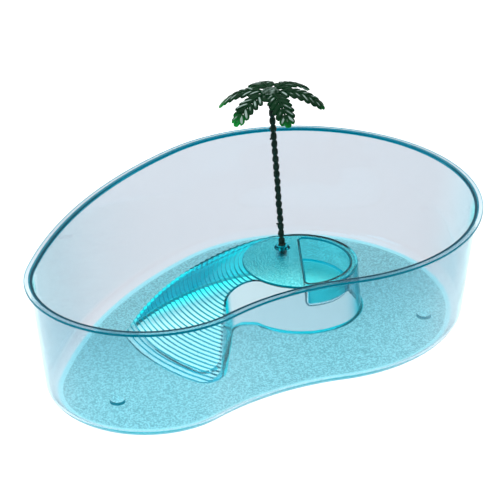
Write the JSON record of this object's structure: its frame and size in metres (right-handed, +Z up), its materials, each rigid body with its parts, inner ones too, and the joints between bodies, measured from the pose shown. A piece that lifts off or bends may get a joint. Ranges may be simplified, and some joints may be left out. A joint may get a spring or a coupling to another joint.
{
  "type": "turtle tank",
  "caption": "Kidney-shaped shallow basin with a flanged rim, a stepped ramp up to a round platform with a D-shaped food well, and a plug-in palm tree",
  "frame": {"origin": "At the underside of the basin, below the middle of the bounding box's length and width", "axes": "+X along the tank from the small lobe to the big lobe, +Y to the bulging back flank, +Z up"},
  "size_m": [0.38, 0.268, 0.1687],
  "materials": {
    "clear_plastic": "clear pale cyan, glossy walls and a finely stippled floor",
    "trunk_plastic": "very dark green, satin gloss",
    "frond_plastic": "dark green, satin gloss"
  },
  "bodies": {
    "root": {"tank": "clear_plastic", "palm_trunk": "trunk_plastic", "palm_crown": "frond_plastic"}
  },
  "joints": []
}
